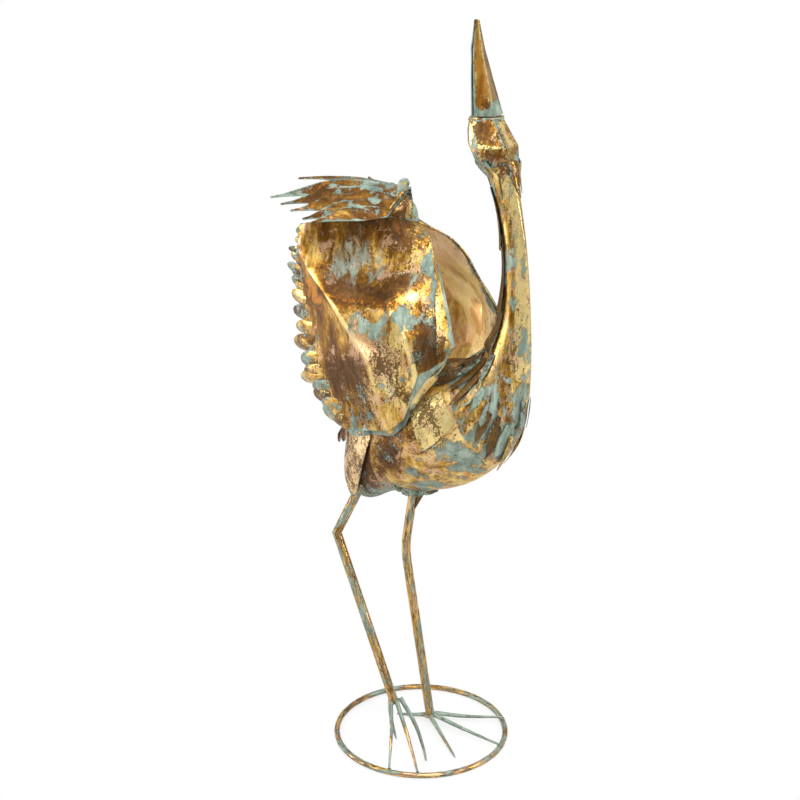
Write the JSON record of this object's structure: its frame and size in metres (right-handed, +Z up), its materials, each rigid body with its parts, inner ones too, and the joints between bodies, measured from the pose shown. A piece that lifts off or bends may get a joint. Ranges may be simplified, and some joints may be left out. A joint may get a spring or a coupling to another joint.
{
  "type": "crane garden statue",
  "caption": "Standing crane in welded sheet steel, head raised to the sky and wings lifted behind it, on two tube legs inside a ground ring of round rod.",
  "frame": {"origin": "centre of the underside of the figure's bounding box, at ground level", "axes": "+Z up, -Y the way the bird faces, +X its left side"},
  "size_m": [0.3134, 0.4966, 1.254],
  "materials": {
    "gold_leaf": "torn gold leaf over pale verdigris paint, semi-gloss, with rust-brown specks",
    "verdigris": "matte pale verdigris paint with scraps of gold leaf along the edges",
    "rust_brown": "satin rust-brown patina with worn gold leaf"
  },
  "bodies": {
    "root": {"base_ring": "gold_leaf", "right_thigh": "gold_leaf", "right_shank": "gold_leaf", "left_leg": "gold_leaf", "rump_shell": "gold_leaf", "belly_shell": "gold_leaf", "neck_base_shell": "gold_leaf", "neck_shell": "gold_leaf", "head_shell": "gold_leaf", "bill_lower": "gold_leaf", "bill_upper": "gold_leaf", "tail": "gold_leaf", "right_side_plate": "gold_leaf", "right_wing_outer_plate": "gold_leaf", "right_primary_1": "gold_leaf", "right_primary_2": "gold_leaf", "right_primary_3": "gold_leaf", "right_primary_4": "gold_leaf", "right_shoulder_plate": "gold_leaf", "right_covert": "gold_leaf", "left_side_plate": "gold_leaf", "left_wing_outer_plate": "gold_leaf", "left_primary_1": "gold_leaf", "left_primary_2": "gold_leaf", "left_primary_3": "gold_leaf", "left_primary_4": "gold_leaf", "left_shoulder_plate": "gold_leaf", "left_covert": "gold_leaf", "right_toe_1": "verdigris", "right_toe_2": "verdigris", "right_toe_3": "verdigris", "right_hind_toe": "verdigris", "left_toe_1": "verdigris", "left_toe_2": "verdigris", "left_toe_3": "verdigris", "left_hind_toe": "verdigris", "right_collar_lower": "verdigris", "right_collar_upper": "verdigris", "right_wing_lining": "verdigris", "right_upper_scallops": "verdigris", "right_outer_scallops": "verdigris", "right_inner_scallops": "verdigris", "right_thumb_feather": "verdigris", "left_collar_lower": "verdigris", "left_collar_upper": "verdigris", "left_wing_lining": "verdigris", "left_upper_scallops": "verdigris", "left_outer_scallops": "verdigris", "left_inner_scallops": "verdigris", "left_thumb_feather": "verdigris", "nape_plate_lower": "rust_brown", "nape_plate_middle": "rust_brown", "nape_plate_upper": "rust_brown", "saddle_plate": "rust_brown", "left_gusset": "rust_brown"}
  },
  "joints": []
}
